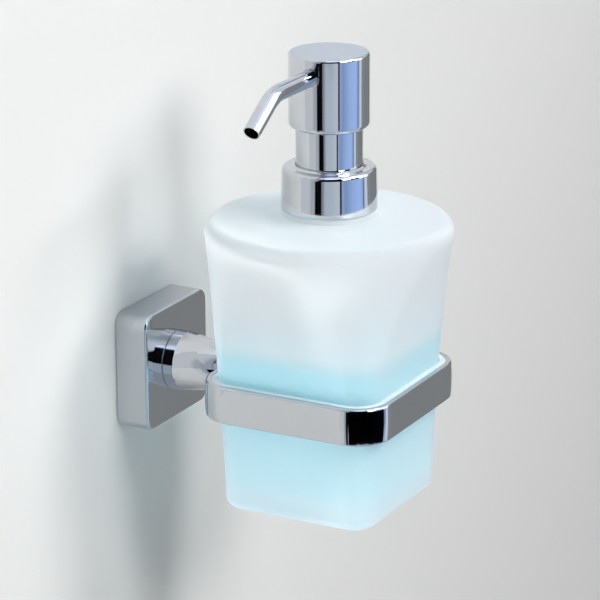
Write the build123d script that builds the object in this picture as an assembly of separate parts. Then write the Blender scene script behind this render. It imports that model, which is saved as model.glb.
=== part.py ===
from build123d import *
import os

# A wall mounted soap dispenser: a square rosette on a screwed wall plate, a turned arm, a square
# holder ring with a plastic liner, a frosted glass bottle and a push pump with a bent spout.
# Millimetres, +Z up. The wall is the plane Y = 0 and the dispenser stands out of it towards -Y.
# The origin is the centre of the wall plate's back, on the wall.

# ---- driving dimensions: wall fixing ----
ROSETTE_SIDE = 43.7
ROSETTE_DEPTH = 12.7
ROSETTE_CORNER = 4.75
ROSETTE_EDGE = 1.0  # rounding of the front edge
ROSETTE_WALL = 2.2
ROSETTE_FRONT = 3.0  # thickness of the front wall
PLATE_WIDTH = 33.0
PLATE_HEIGHT = 35.0  # at the plate's front: it narrows towards the wall
PLATE_DEPTH = 5.0
PLATE_BEVEL = 2.5  # how far the upper and lower edges draw in at the wall
WALL_SCREW_SPACING = 22.0
WALL_SCREW_HOLE_R = 2.6
GRUB_R = 2.0
GRUB_FROM_WALL = 3.2
PLATE_PLAY = 0.02  # between the wall plate's leaning edges and what wedges on them
SCREW_PLAY = 0.1  # radial clearance of a screw's hole
SCREW_FIT = 0.02  # radial clearance of a screw in its thread

# ---- driving dimensions: arm ----
ARM_R = 11.0
ARM_FOOT = 4.2  # length of the cylindrical foot
ARM_NOSE_R = 6.0
ARM_SWELL = 0.35  # how far the taper bulges beyond a straight cone
ARM_SCREW_R = 2.5
RING_SCREW_R = 2.0
WASHER_THICK = 1.0
KEY_SIDE = 6.4  # square key that stops the ring from turning on the arm
KEY_LENGTH = 1.6

# ---- driving dimensions: holder ring ----
REACH = 75.5  # wall to the upright axis of bottle and pump
RING_HALF = 36.1  # half the outer width, at the crown of the band
RING_CORNER = 13.2
RING_WALL = 2.3
RING_HEIGHT = 13.6
RING_MID_Z = -0.25
RING_CROWN = 0.3  # how far the band's outer face swells at mid height
RING_EDGE = 0.9
RING_LEDGE = 0.7  # inward lip that carries the liner
RING_LEDGE_THICK = 1.0
RING_SINK = 1.75  # depth and spread of the countersink for the ring's screw
SEAT_Y = -(REACH - RING_HALF - 0.3)  # where arm and ring meet

# ---- driving dimensions: bottle ----
# Rows of height, half width and corner radius: nearly square below the ring, round at the shoulder.
BOTTLE_ROWS = (
    (-42.0, 29.6, 8.5),
    (-8.0, 30.7, 8.6),
    (7.5, 31.5, 8.9),
    (44.0, 38.3, 26.6),
    (57.5, 44.0, 44.0),
)
SHOULDER_R = 44.25
SHOULDER_Z = 62.3
SHOULDER_ROUND = 4.5
GLASS_WALL = 3.0
GLASS_FLOOR = 8.0
BASE_ROUND = 4.0
NECK_FOOT_R = 16.7
NECK_FOOT_Z = 66.1
NECK_R = 12.9
NECK_BORE_R = 9.3
NECK_TOP_Z = 76.0
SOAP_Z = 17.5
SOAP_GAP = 0.15  # keeps the liquid's solid off the glass walls
LINER_GAP = 0.3  # clearance between glass and liner

# ---- driving dimensions: pump ----
COLLAR_FOOT_R = 17.0
COLLAR_TOP_R = 16.6
COLLAR_FOOT_Z = 66.5
COLLAR_TOP_Z = 82.0
SLEEVE_R = 11.83
SLEEVE_BORE_R = 11.0
SLEEVE_TOP_Z = 99.7
HEAD_R = 14.2
HEAD_BORE_R = 12.1
HEAD_FOOT_Z = 95.8
HEAD_TOP_Z = 122.4
HEAD_ROOF = 1.5
SPOUT_R = 3.0
SPOUT_BORE_R = 2.6
SPOUT_Z = 116.0
SPOUT_ROOT = 5.0  # pump axis to the bottom of the spout's socket
SPOUT_SEAM = 0.3  # width of the groove round the spout where it enters the head
SPOUT_SEAM_DEPTH = 0.8
SPOUT_REACH = 40.6  # pump axis to where the two straight runs would meet
SPOUT_BEND_R = 16.0
SPOUT_DROOP = 32.6  # degrees below level after the bend
SPOUT_TIP = 17.9  # bend corner to the open end
STEM_R = 3.0
STEM_BORE_R = 1.6
STEM_FOOT_Z = 63.0
STEM_TOP_Z = 110.0
HOUSING_R = 7.0
HOUSING_BORE_R = 6.0
FLANGE_Z = 77.0  # underside of the housing's flange, on the gasket
FLANGE_TOP_Z = 78.5
CLAMP_Z = 79.5  # top of the sleeve's own flange, where the insert's roof presses
CLAMP_ROOF = 1.4  # thickness of the insert's roof
COLLAR_SKIN = 0.95  # how far the chromed collar stands outside the insert
COLLAR_DISH = 0.3  # how far the collar's top sinks
COLLAR_LIP = 0.4  # how far it rises again round the sleeve
THREAD_ROOM = 0.45  # between the plain neck and the insert, where the thread goes
SPRING_SEAT_Z = 37.0
SPRING_R = 4.6
WIRE_R = 0.5
SPRING_TURNS = 6.5
BALL_R = 2.0
INLET_BALL_Z = 32.65
SOCKET_TOP_Z = 30.0  # where the dip tube ends in the housing
SOCKET_DEPTH = 10.0
TUBE_R = 2.5
TUBE_BORE_R = 1.7
RUNNING = 0.06  # radial clearance of a sliding fit

WALL = Plane.XZ  # local x sideways, local y up, local z out of the wall
PUMP_AXIS = Pos(0, -REACH, 0)
FROM_BASE = (Align.CENTER, Align.CENTER, Align.MIN)  # a solid that starts at its base


def rounded(section, rounds):
    """Round the named corners of a flat section: rounds lists ((x, y), radius)."""
    for corner, radius in rounds:
        vertex = section.vertices().sort_by_distance((*corner, 0))[0]
        section = fillet(vertex, radius)
    return section


def turned(points, rounds=()):
    """A solid turned about the pump axis. points are (radius, height) of its half section."""
    section = rounded(make_face(Polyline(*points, close=True)), rounds)
    return PUMP_AXIS * revolve(Plane.XZ * section, Axis.Z)


def pipe(radius, bore, low, high):
    """A plain round tube on the pump axis."""
    return turned([(bore, low), (radius, low), (radius, high), (bore, high)])


def along_arm(points):
    """A solid turned about the arm's axis. points are (radius, distance from the wall)."""
    outline = Polyline(*[(radius, -distance) for radius, distance in points], close=True)
    return revolve(make_face(outline), Axis.Y)


# ---- wall fixing ----


def plate_edge(distance):
    """Half height of the wall plate at a distance from the wall."""
    return PLATE_HEIGHT / 2 - PLATE_BEVEL * (1 - distance / PLATE_DEPTH)


def wall_plate():
    """The plate that two screws hold to the wall. Its upper and lower edges lean, so that the
    rosette hooks behind one and its grub screw wedges behind the other."""
    front = plate_edge(PLATE_DEPTH)
    back = plate_edge(0)
    side_view = Polyline(
        (0, -back),
        (-PLATE_DEPTH, -front),
        (-PLATE_DEPTH, front),
        (0, back),
        close=True,
    )
    plate = extrude(Plane.YZ * make_face(side_view), PLATE_WIDTH / 2, both=True)
    for height in (-WALL_SCREW_SPACING / 2, WALL_SCREW_SPACING / 2):
        plate -= extrude(WALL * Pos(0, height) * Circle(WALL_SCREW_HOLE_R), PLATE_DEPTH)
    return plate


def rosette():
    """The square cover: a hollow shell with a hook rib inside its upper wall, a hole for the arm's
    screw and a tapped hole underneath for the grub screw."""
    shell = extrude(WALL * RectangleRounded(ROSETTE_SIDE, ROSETTE_SIDE, ROSETTE_CORNER), ROSETTE_DEPTH)
    shell = fillet(shell.faces().sort_by(Axis.Y)[0].edges(), ROSETTE_EDGE)
    inside = ROSETTE_SIDE - 2 * ROSETTE_WALL
    cavity = RectangleRounded(inside, inside, ROSETTE_CORNER - ROSETTE_WALL)
    shell -= extrude(WALL * cavity, ROSETTE_DEPTH - ROSETTE_FRONT)
    near, far = 0.4, 2.8  # the hook rib's two faces, from the wall
    root = inside / 2 + ROSETTE_WALL / 4  # the rib and the pad start inside the shell's wall
    hook = Polyline(
        (-near, root),
        (-near, plate_edge(near) + PLATE_PLAY),
        (-far, plate_edge(far) + PLATE_PLAY),
        (-far, root),
        close=True,
    )
    hook_width = PLATE_WIDTH - 10
    shell += extrude(Plane.YZ * make_face(hook), hook_width / 2, both=True)
    pad_width, pad_depth = 9, 6
    pad_height = root - plate_edge(PLATE_DEPTH) - 0.5
    pad = Box(pad_width, pad_depth, pad_height, align=FROM_BASE)
    shell += Pos(0, -GRUB_FROM_WALL - 0.2, -root) * pad
    shell -= Pos(0, -GRUB_FROM_WALL, -ROSETTE_SIDE / 2 + GRUB_R) * Cylinder(GRUB_R, 8)
    shell -= extrude(WALL * Circle(ARM_SCREW_R + SCREW_PLAY), ROSETTE_DEPTH)
    return shell


def grub_screw():
    """The headless screw underneath the rosette. Its end presses on the plate's lower edge."""
    point = 0.6  # chamfer of its end
    sunk = 0.4
    hex_key_r, hex_key_depth = 1.15, 1.8
    low = -ROSETTE_SIDE / 2 + sunk
    high = -plate_edge(GRUB_FROM_WALL + GRUB_R - point) - PLATE_PLAY
    body = Cylinder(GRUB_R, high - low, align=FROM_BASE)
    body = chamfer(body.edges().sort_by(Axis.Z)[-1], point)
    body -= extrude(RegularPolygon(hex_key_r, 6), hex_key_depth)
    return Pos(0, -GRUB_FROM_WALL, low) * body


# ---- arm ----


def arm():
    """The turned arm: a short cylinder, then a slightly swelling taper down to the ring. It is
    tapped at both ends and its nose has a square recess for the ring's key."""
    foot = ROSETTE_DEPTH
    step = foot + ARM_FOOT
    nose = -SEAT_Y
    swell = ((ARM_R + ARM_NOSE_R) / 2 + ARM_SWELL, -(step + nose) / 2)
    outline = [
        Line((0, -foot), (ARM_R, -foot)),
        Line((ARM_R, -foot), (ARM_R, -step)),
        ThreePointArc((ARM_R, -step), swell, (ARM_NOSE_R, -nose)),
        Line((ARM_NOSE_R, -nose), (0, -nose)),
        Line((0, -nose), (0, -foot)),
    ]
    body = revolve(make_face(outline), Axis.Y)
    foot_tap, nose_tap = foot + 11, nose - 10
    body -= along_arm([(0, foot), (ARM_SCREW_R, foot), (ARM_SCREW_R, foot_tap), (0, foot_tap + 1.5)])
    body -= along_arm([(0, nose), (RING_SCREW_R, nose), (RING_SCREW_R, nose_tap), (0, nose_tap - 1)])
    recess = Rectangle(KEY_SIDE + 2 * SCREW_PLAY, KEY_SIDE + 2 * SCREW_PLAY)
    return body - extrude(WALL.offset(nose) * recess, -(KEY_LENGTH + 2 * SCREW_PLAY))


def arm_washer():
    """The washer under the arm screw's head, inside the rosette."""
    front = ROSETTE_DEPTH - ROSETTE_FRONT
    back = front - WASHER_THICK
    hole, outside = ARM_SCREW_R + SCREW_PLAY, 5.2
    return along_arm([(hole, front), (outside, front), (outside, back), (hole, back)])


def arm_screw():
    """The pan head screw that pulls the arm against the rosette from inside."""
    seat = ROSETTE_DEPTH - ROSETTE_FRONT - WASHER_THICK
    tip = ROSETTE_DEPTH + 9.5
    shank = ARM_SCREW_R - SCREW_FIT
    pan_r, pan_height, pan_round = 4.4, 2.6, 1.2
    hex_key_r, hex_key_depth = 1.75, 1.6
    top, point = seat - pan_height, 0.6
    screw = along_arm([(0, top), (pan_r - pan_round, top), (pan_r, top + pan_round), (pan_r, seat),
                       (shank, seat), (shank, tip - point), (shank - point, tip), (0, tip)])
    return screw - extrude(WALL.offset(top) * RegularPolygon(hex_key_r, 6), hex_key_depth)


# ---- holder ring and liner ----


def band(half, corner, section):
    """A section of (outward, height) swept round a square with rounded corners, about the pump axis.
    outward is counted from the square's sides."""
    corners = [(-half, -half), (half, -half), (half, half), (-half, half)]
    path = FilletPolyline(*corners, radius=corner, close=True)
    start = path @ 0
    along = path % 0
    outward = Vector(along.Y, -along.X, 0)
    if outward.dot(start) < 0:
        outward = -outward
    plane = Plane(origin=start, x_dir=outward, z_dir=outward.cross(Vector(0, 0, 1)))
    return PUMP_AXIS * sweep(plane * section, path=path)


def ring():
    """The square band. Its outer face swells a little, its edges are rounded, a lip inside its
    lower edge carries the liner, and a seat with a square key meets the arm."""
    low, high = -RING_HEIGHT / 2, RING_HEIGHT / 2
    lip_top, lip_end = low + RING_LEDGE_THICK, -RING_WALL - RING_LEDGE
    outline = [
        ThreePointArc((-RING_CROWN, low), (0, 0), (-RING_CROWN, high)),
        Line((-RING_CROWN, high), (-RING_WALL, high)),
        Line((-RING_WALL, high), (-RING_WALL, lip_top)),
        Line((-RING_WALL, lip_top), (lip_end, lip_top)),
        Line((lip_end, lip_top), (lip_end, low)),
        Line((lip_end, low), (-RING_CROWN, low)),
    ]
    section = rounded(
        make_face(outline),
        [((-RING_CROWN, low), RING_EDGE), ((-RING_CROWN, high), RING_EDGE), ((-RING_WALL, high), 0.3)],
    )
    body = Pos(0, 0, RING_MID_Z) * band(RING_HALF, RING_CORNER, section)
    inner = REACH - RING_HALF + RING_WALL
    nose = -SEAT_Y
    body += along_arm([(0, nose), (ARM_NOSE_R, nose), (ARM_NOSE_R, inner - 0.5), (0, inner - 0.5)])
    body += extrude(WALL.offset(nose) * Rectangle(KEY_SIDE, KEY_SIDE), -KEY_LENGTH)
    hole = RING_SCREW_R + SCREW_PLAY
    sink = hole + RING_SINK
    return body - along_arm([(0, nose - 2), (hole, nose - 2), (hole, inner - RING_SINK), (sink, inner),
                             (sink, inner + 1), (0, inner + 1)])


def ring_screw():
    """The countersunk screw from inside the ring into the arm's nose, hidden by the liner."""
    head = REACH - RING_HALF + RING_WALL - SCREW_PLAY
    tip = -SEAT_Y - 8.5
    shank = RING_SCREW_R - SCREW_FIT
    rim = shank + RING_SINK
    hex_key_r, hex_key_depth = 1.2, 1.4
    screw = along_arm([(0, tip), (shank, tip), (shank, head - RING_SINK), (rim, head), (0, head)])
    return screw - extrude(WALL.offset(head) * RegularPolygon(hex_key_r, 6), -hex_key_depth)


def ring_liner():
    """The translucent plastic liner: it fills the ring outside and follows the bottle inside."""
    half = RING_HALF - RING_WALL
    low = RING_MID_Z - RING_HEIGHT / 2 + RING_LEDGE_THICK
    high = RING_MID_Z + RING_HEIGHT / 2 - 0.1
    outline = RectangleRounded(2 * half, 2 * half, RING_CORNER - RING_WALL)
    block = extrude(Pos(0, -REACH, low) * outline, high - low)
    block = chamfer(block.faces().sort_by(Axis.Z)[-1].edges(), 0.4)
    return block - bottle_form(-LINER_GAP, BOTTLE_ROWS[0][0])


# ---- bottle ----


def bottle_row(height):
    """Half width and corner radius of the bottle at a height."""
    for below, above in zip(BOTTLE_ROWS, BOTTLE_ROWS[1:]):
        if height <= above[0]:
            share = (height - below[0]) / (above[0] - below[0])
            half = below[1] + share * (above[1] - below[1])
            corner = below[2] + share * (above[2] - below[2])
            return half, corner


def bottle_outline(height, inset):
    """The bottle's outline at a height: a square with rounded corners, or a circle in eight arcs."""
    half, corner = bottle_row(height)
    half, corner = half - inset, max(corner - inset, 3.0)
    if half - corner > 0.5:
        face = RectangleRounded(2 * half, 2 * half, corner)
    else:
        arcs = []
        for side in range(4):
            arcs.append(CenterArc((0, 0), half, 90 * side - 1, 2))
            arcs.append(CenterArc((0, 0), half, 90 * side + 1, 88))
        face = make_face(arcs)
    return Pos(0, -REACH, height) * face


def bottle_form(inset, floor):
    """The bottle's outer form below the shoulder, drawn in by inset, from a floor height up."""
    heights = [floor] + [row[0] for row in BOTTLE_ROWS if row[0] > floor + 5]
    return loft([bottle_outline(height, inset) for height in heights])


def bottle():
    """Frosted glass: square below, round at the shoulder, with a thick floor and a screw neck."""
    floor = BOTTLE_ROWS[0][0]
    round_z = BOTTLE_ROWS[-1][0]
    round_r = BOTTLE_ROWS[-1][1]
    glass = bottle_form(0, floor)
    glass = fillet(glass.faces().sort_by(Axis.Z)[0].edges(), BASE_ROUND)
    glass += turned(
        [(0, round_z), (round_r, round_z), (SHOULDER_R, SHOULDER_Z), (NECK_FOOT_R + 1.2, SHOULDER_Z + 1.3),
         (NECK_FOOT_R, SHOULDER_Z + 2.2), (NECK_FOOT_R, NECK_FOOT_Z), (NECK_R, NECK_FOOT_Z),
         (NECK_R, NECK_TOP_Z), (0, NECK_TOP_Z)],
        [((SHOULDER_R, SHOULDER_Z), SHOULDER_ROUND), ((NECK_FOOT_R, NECK_FOOT_Z), 0.5)],
    )
    inner_r = round_r - GLASS_WALL
    inner_z = SHOULDER_Z - GLASS_WALL
    inside = bottle_form(GLASS_WALL, floor + GLASS_FLOOR)
    inside += turned(
        [(0, round_z), (inner_r, round_z), (inner_r, inner_z), (NECK_BORE_R, inner_z + 1.3),
         (NECK_BORE_R, NECK_TOP_Z + 1), (0, NECK_TOP_Z + 1)],
        [((inner_r, inner_z), 1.5)],
    )
    return glass - inside


def soap():
    """The liquid in the lower half of the bottle, open round the dip tube."""
    low = BOTTLE_ROWS[0][0] + GLASS_FLOOR
    liquid = bottle_form(GLASS_WALL + SOAP_GAP, low)
    liquid &= extrude(Pos(0, -REACH, low) * Rectangle(100, 100), SOAP_Z - low)
    return liquid - pipe(TUBE_R + 0.6, 0, low, SOAP_Z)


# ---- closure ----


def neck_gasket():
    """The soft washer between the glass and the pump's flange."""
    return pipe(NECK_R, HOUSING_R + 2.4, NECK_TOP_Z, FLANGE_Z)


def closure_insert():
    """The plastic cap liner that screws on the neck and clamps the pump's flange."""
    outside = COLLAR_TOP_R - COLLAR_SKIN
    bore = NECK_R + THREAD_ROOM
    low, roof = COLLAR_FOOT_Z + 0.4, CLAMP_Z + CLAMP_ROOF
    hole = SLEEVE_R + 0.2
    return turned([(bore, low), (outside, low), (outside, roof), (hole, roof), (hole, CLAMP_Z),
                   (bore, CLAMP_Z)])


def collar():
    """The chromed cap over the insert: slightly tapered, with a rounded upper edge and a shallow
    dished top that rises in a small lip round the sleeve."""
    bore = COLLAR_TOP_R - COLLAR_SKIN
    under_roof = CLAMP_Z + CLAMP_ROOF
    hole = SLEEVE_R + 0.15
    dish = COLLAR_TOP_Z - COLLAR_DISH
    lip = COLLAR_TOP_Z + COLLAR_LIP
    lip_foot = (hole + 1.2, dish)
    shoulder = (COLLAR_TOP_R, COLLAR_TOP_Z)
    foot = (COLLAR_FOOT_R, COLLAR_FOOT_Z)
    return turned(
        [(bore, COLLAR_FOOT_Z), foot, shoulder, (hole + 2.4, dish), lip_foot, (hole + 0.3, lip),
         (hole, lip), (hole, under_roof), (bore, under_roof)],
        [(shoulder, 1.6), (lip_foot, 0.7), (foot, 0.3)],
    )


def sleeve():
    """The fixed chromed sleeve that the head slides over, with a flange under the collar's roof."""
    return turned([(SLEEVE_BORE_R, FLANGE_TOP_Z), (NECK_R, FLANGE_TOP_Z), (NECK_R, CLAMP_Z),
                   (SLEEVE_R, CLAMP_Z), (SLEEVE_R, SLEEVE_TOP_Z), (SLEEVE_BORE_R, SLEEVE_TOP_Z)])


# ---- pump engine ----


def housing():
    """The pump's cylinder: a flange on the gasket, a long bore for the piston, a ledge for the
    spring, a ball chamber with a conical seat, and a socket for the dip tube."""
    seat = SPRING_SEAT_Z
    outside, inlet, chamber = 3.6, 1.2, 3.0
    low = SOCKET_TOP_Z - SOCKET_DEPTH
    return turned(
        [(HOUSING_BORE_R, FLANGE_TOP_Z), (NECK_R, FLANGE_TOP_Z), (NECK_R, FLANGE_Z),
         (HOUSING_R, FLANGE_Z), (HOUSING_R, seat - 1), (outside + 0.2, seat - 6), (outside, low),
         (TUBE_R, low), (TUBE_R, SOCKET_TOP_Z), (inlet, SOCKET_TOP_Z), (inlet, SOCKET_TOP_Z + 1),
         (chamber, SOCKET_TOP_Z + 2.5), (chamber, seat), (HOUSING_BORE_R, seat)]
    )


def dip_tube():
    """The tube from the pump down to just above the bottle's floor."""
    above_floor = 1.5
    return pipe(TUBE_R, TUBE_BORE_R, BOTTLE_ROWS[0][0] + GLASS_FLOOR + above_floor, SOCKET_TOP_Z)


def inlet_ball():
    """The steel ball that closes the pump's inlet on the down stroke."""
    return PUMP_AXIS * Pos(0, 0, INLET_BALL_Z) * Sphere(BALL_R)


def return_spring():
    """The spring between the housing's ledge and the stem's foot. Its wire is six sided, which keeps
    a long coil that nobody sees light."""
    height = STEM_FOOT_Z - SPRING_SEAT_Z - 2 * WIRE_R
    path = Helix(pitch=height / SPRING_TURNS, height=height, radius=SPRING_R)
    start = Plane(origin=path @ 0, z_dir=path % 0)
    coil = sweep(start * RegularPolygon(WIRE_R, 6), path=path, is_frenet=True)
    return PUMP_AXIS * Pos(0, 0, SPRING_SEAT_Z + WIRE_R) * coil


def retainer():
    """The plug that closes the housing's mouth and guides the stem."""
    bore = STEM_R + RUNNING
    plug, rim, guide = HOUSING_BORE_R - 0.05, SLEEVE_BORE_R - 0.1, 4.6
    mouth = FLANGE_TOP_Z
    low, rim_top, high = mouth - 7, mouth + 1.5, mouth + 7.5
    return turned([(bore, low), (plug, low), (plug, mouth), (rim, mouth), (rim, rim_top),
                   (guide, rim_top), (guide, high), (bore, high)])


def piston():
    """The sliding seal: two thin lips on a hub that rides on the stem."""
    low, high = STEM_FOOT_Z + 2.3, STEM_FOOT_Z + 8.3
    middle = (low + high) / 2
    lip = HOUSING_BORE_R - RUNNING
    bore = STEM_R + RUNNING
    hub, groove, waist = 4.4, 4.8, 5.2
    return turned([(bore, low), (hub, low), (groove, low + 1.2), (lip, low), (lip, low + 2),
                   (waist, middle), (lip, high - 2), (lip, high), (groove, high - 1.2), (hub, high),
                   (bore, high)])


def stem():
    """The hollow stem: a foot under the piston, cross ports above the foot, and a ball seat on top."""
    foot_r, shoulder_r = 5.3, 4.2
    foot_top = STEM_FOOT_Z + 2
    body = turned([(0, STEM_FOOT_Z), (foot_r, STEM_FOOT_Z), (foot_r, foot_top - 1),
                   (shoulder_r, foot_top), (STEM_R, foot_top), (STEM_R, STEM_TOP_Z),
                   (STEM_BORE_R, STEM_TOP_Z), (STEM_BORE_R, foot_top + 0.6), (0, foot_top)])
    port_r, port_z = 0.8, foot_top + 1.8
    port = PUMP_AXIS * Pos(0, 0, port_z) * Rot(0, 90, 0) * Cylinder(port_r, 4 * STEM_R)
    return body - port


def outlet_ball():
    """The steel ball on the stem's mouth, lifted by the soap on the down stroke."""
    rise = (BALL_R**2 - STEM_BORE_R**2) ** 0.5
    return PUMP_AXIS * Pos(0, 0, STEM_TOP_Z + rise + 0.02) * Sphere(BALL_R)


# ---- head and spout ----


def head_insert():
    """The plastic body inside the head: a socket for the stem, the outlet ball's chamber and a
    socket for the spout."""
    roof = HEAD_TOP_Z - HEAD_ROOF
    disc = SPOUT_Z - SPOUT_R - 0.2
    boss_r, boss_low = 5.0, STEM_TOP_Z - 11
    chamber_r, passage_r = 2.6, 1.4
    body = turned(
        [(0, boss_low), (boss_r, boss_low), (boss_r, disc), (HEAD_BORE_R, disc), (HEAD_BORE_R, roof),
         (0, roof)],
        [((boss_r, disc), 1.0)],
    )
    body -= pipe(STEM_R, 0, boss_low, STEM_TOP_Z)
    body -= pipe(chamber_r, 0, STEM_TOP_Z, SPOUT_Z + passage_r)
    outwards = PUMP_AXIS * Pos(0, 0, SPOUT_Z) * Rot(0, -90, 0)
    body -= outwards * Cylinder(passage_r, 6, align=FROM_BASE)
    return body - outwards * Pos(0, 0, SPOUT_ROOT) * Cylinder(SPOUT_R, 10, align=FROM_BASE)


def head():
    """The push head: a turned cup with a flat top, rounded edges, a hole for the spout and a fine
    groove round the hole, which is the seam that the eye sees."""
    roof = HEAD_TOP_Z - HEAD_ROOF
    cup = turned([(0, HEAD_TOP_Z), (HEAD_R, HEAD_TOP_Z), (HEAD_R, HEAD_FOOT_Z), (HEAD_BORE_R, HEAD_FOOT_Z),
                  (HEAD_BORE_R, roof), (0, roof)],
                 [((HEAD_R, HEAD_TOP_Z), 1.0), ((HEAD_R, HEAD_FOOT_Z), 1.9)])
    outwards = PUMP_AXIS * Pos(0, 0, SPOUT_Z) * Rot(0, -90, 0)
    cup -= outwards * Cylinder(SPOUT_R, 20, align=FROM_BASE)
    seam = Cylinder(SPOUT_R + SPOUT_SEAM, 5, align=FROM_BASE)
    return cup - outwards * Pos(0, 0, HEAD_R - SPOUT_SEAM_DEPTH) * seam


def spout():
    """The bent tube: level out of the head, then down to an open end cut square."""
    corner = Vector(-SPOUT_REACH, -REACH, SPOUT_Z)
    end = corner + Vector(-SPOUT_TIP, 0, 0).rotate(Axis.Y, -SPOUT_DROOP)
    start = (-SPOUT_ROOT - 0.2, -REACH, SPOUT_Z)
    path = FilletPolyline(start, corner, end, radius=SPOUT_BEND_R)
    ring_face = Circle(SPOUT_R) - Circle(SPOUT_BORE_R)
    return sweep(Plane(origin=path @ 0, z_dir=path % 0) * ring_face, path=path)


PIECES = {
    "wall_plate": wall_plate,
    "rosette": rosette,
    "grub_screw": grub_screw,
    "arm": arm,
    "arm_washer": arm_washer,
    "arm_screw": arm_screw,
    "ring": ring,
    "ring_screw": ring_screw,
    "ring_liner": ring_liner,
    "bottle": bottle,
    "soap": soap,
    "neck_gasket": neck_gasket,
    "closure_insert": closure_insert,
    "collar": collar,
    "sleeve": sleeve,
    "housing": housing,
    "dip_tube": dip_tube,
    "inlet_ball": inlet_ball,
    "return_spring": return_spring,
    "retainer": retainer,
    "piston": piston,
    "stem": stem,
    "outlet_ball": outlet_ball,
    "head_insert": head_insert,
    "head": head,
    "spout": spout,
}

os.makedirs("parts", exist_ok=True)
for name, make in PIECES.items():
    piece = make()
    export_step(piece, f"parts/{name}.step")
    print(name, round(piece.volume, 1), "mm3")
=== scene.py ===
# %% [markdown]
# # A wall mounted soap dispenser
#
# The dispenser hangs on a square chromed rosette. An arm carries a square ring, the ring carries
# a frosted glass bottle half full of soap, and a push pump stands in the bottle's neck. The
# engineering model is loaded first and never moved. Everything made here is set against it.

# %% load the engineering model
import math
import bpy
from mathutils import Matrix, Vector


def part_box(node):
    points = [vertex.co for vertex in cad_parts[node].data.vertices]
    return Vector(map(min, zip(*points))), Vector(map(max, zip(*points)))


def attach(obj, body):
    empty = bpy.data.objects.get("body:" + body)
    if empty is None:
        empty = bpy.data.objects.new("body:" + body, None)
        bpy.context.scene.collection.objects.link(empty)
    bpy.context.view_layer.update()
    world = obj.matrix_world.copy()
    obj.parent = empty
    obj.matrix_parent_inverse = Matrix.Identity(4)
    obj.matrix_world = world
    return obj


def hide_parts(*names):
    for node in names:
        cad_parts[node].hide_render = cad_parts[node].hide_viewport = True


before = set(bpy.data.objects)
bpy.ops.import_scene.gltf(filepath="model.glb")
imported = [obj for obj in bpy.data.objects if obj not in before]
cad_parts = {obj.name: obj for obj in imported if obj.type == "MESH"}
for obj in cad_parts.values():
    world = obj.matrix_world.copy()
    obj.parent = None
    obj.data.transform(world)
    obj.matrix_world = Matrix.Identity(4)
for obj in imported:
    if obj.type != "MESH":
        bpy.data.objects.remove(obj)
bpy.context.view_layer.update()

MM = 0.001

# %% [markdown]
# Positions come from the model's own boxes. The pump stands upright on one axis, so the middle of
# the head's box gives that axis. The wall plate's back lies on the wall. An operator acts on all
# that is selected, and loading leaves the model's pieces selected, so a helper lets go of them.

# %% where things are
head_low, head_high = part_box("head")
PUMP_X = (head_low.x + head_high.x) / 2
PUMP_Y = (head_low.y + head_high.y) / 2
WALL_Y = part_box("wall_plate")[1].y
print("pump axis, mm:", round(PUMP_X / MM, 2), round(PUMP_Y / MM, 2))
print("wall, mm:", round(WALL_Y / MM, 2))


def deselect():
    """Leaves nothing selected, so that the next operator acts only on what it is given."""
    if bpy.context.object and bpy.context.object.mode != "OBJECT":
        bpy.ops.object.mode_set(mode="OBJECT")
    bpy.ops.object.select_all(action="DESELECT")


deselect()

# %% [markdown]
# ## Camera
#
# A long lens keeps the upright edges nearly parallel, as in a catalogue picture. The camera is
# placed by its direction from the dispenser and by its distance, and turned towards the point
# that it looks at, which is easier to read than three angles.

# %% camera
LOOK_AT = Vector((PUMP_X - 22 * MM, PUMP_Y, 38.5 * MM))
CAMERA_AZIMUTH = math.radians(-61.87)
CAMERA_ELEVATION = math.radians(18.07)
CAMERA_ROLL = math.radians(-0.25)
CAMERA_DISTANCE = 1.0801
LENS_IN_MM = 186.6
SENSOR_IN_MM = 36

bpy.ops.object.camera_add()
camera = bpy.context.object
camera.name = "camera"
camera.data.lens = LENS_IN_MM
camera.data.sensor_width = SENSOR_IN_MM
camera.data.clip_start = 0.05
towards_camera = Vector((
    math.sin(CAMERA_AZIMUTH) * math.cos(CAMERA_ELEVATION),
    -math.cos(CAMERA_AZIMUTH) * math.cos(CAMERA_ELEVATION),
    math.sin(CAMERA_ELEVATION),
))
camera.location = LOOK_AT + towards_camera * CAMERA_DISTANCE
camera.rotation_euler = (-towards_camera).to_track_quat("-Z", "Y").to_euler()
camera.rotation_euler.rotate_axis("Z", CAMERA_ROLL)
bpy.context.scene.camera = camera
bpy.context.scene.view_settings.view_transform = "Standard"
print("camera, mm:", [round(c / MM) for c in camera.location])

# %% [markdown]
# ## Colours and nodes
#
# Colours are written as the eye reads them, in sRGB, and the shader wants them linear. One helper
# turns one into the other. A second adds a node with its settings and links, so that each
# material below reads as a list of what it is made of. Some nodes have several sockets of one
# name, which are told apart by number, and those numbers get names here.

# %% colour and node helpers
SHARE, FIRST_SHADER, SECOND_SHADER = 0, 1, 2
FIRST_COLOUR, SECOND_COLOUR, MIXED_COLOUR = 6, 7, 2


def linear(srgb):
    """An sRGB hex colour as linear red, green, blue and 1."""
    channels = [int(srgb[place:place + 2], 16) / 255 for place in (1, 3, 5)]
    return [c / 12.92 if c <= 0.04045 else ((c + 0.055) / 1.055) ** 2.4 for c in channels] + [1.0]


def add_node(tree, kind, settings=()):
    """Adds a node. A setting is one of its own options, or the value or the source of an input."""
    node = tree.nodes.new("ShaderNode" + kind)
    for name, value in dict(settings).items():
        if hasattr(node, str(name)):
            setattr(node, name, value)
        elif isinstance(value, bpy.types.NodeSocket):
            tree.links.new(value, node.inputs[name])
        else:
            node.inputs[name].default_value = value
    return node


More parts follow.
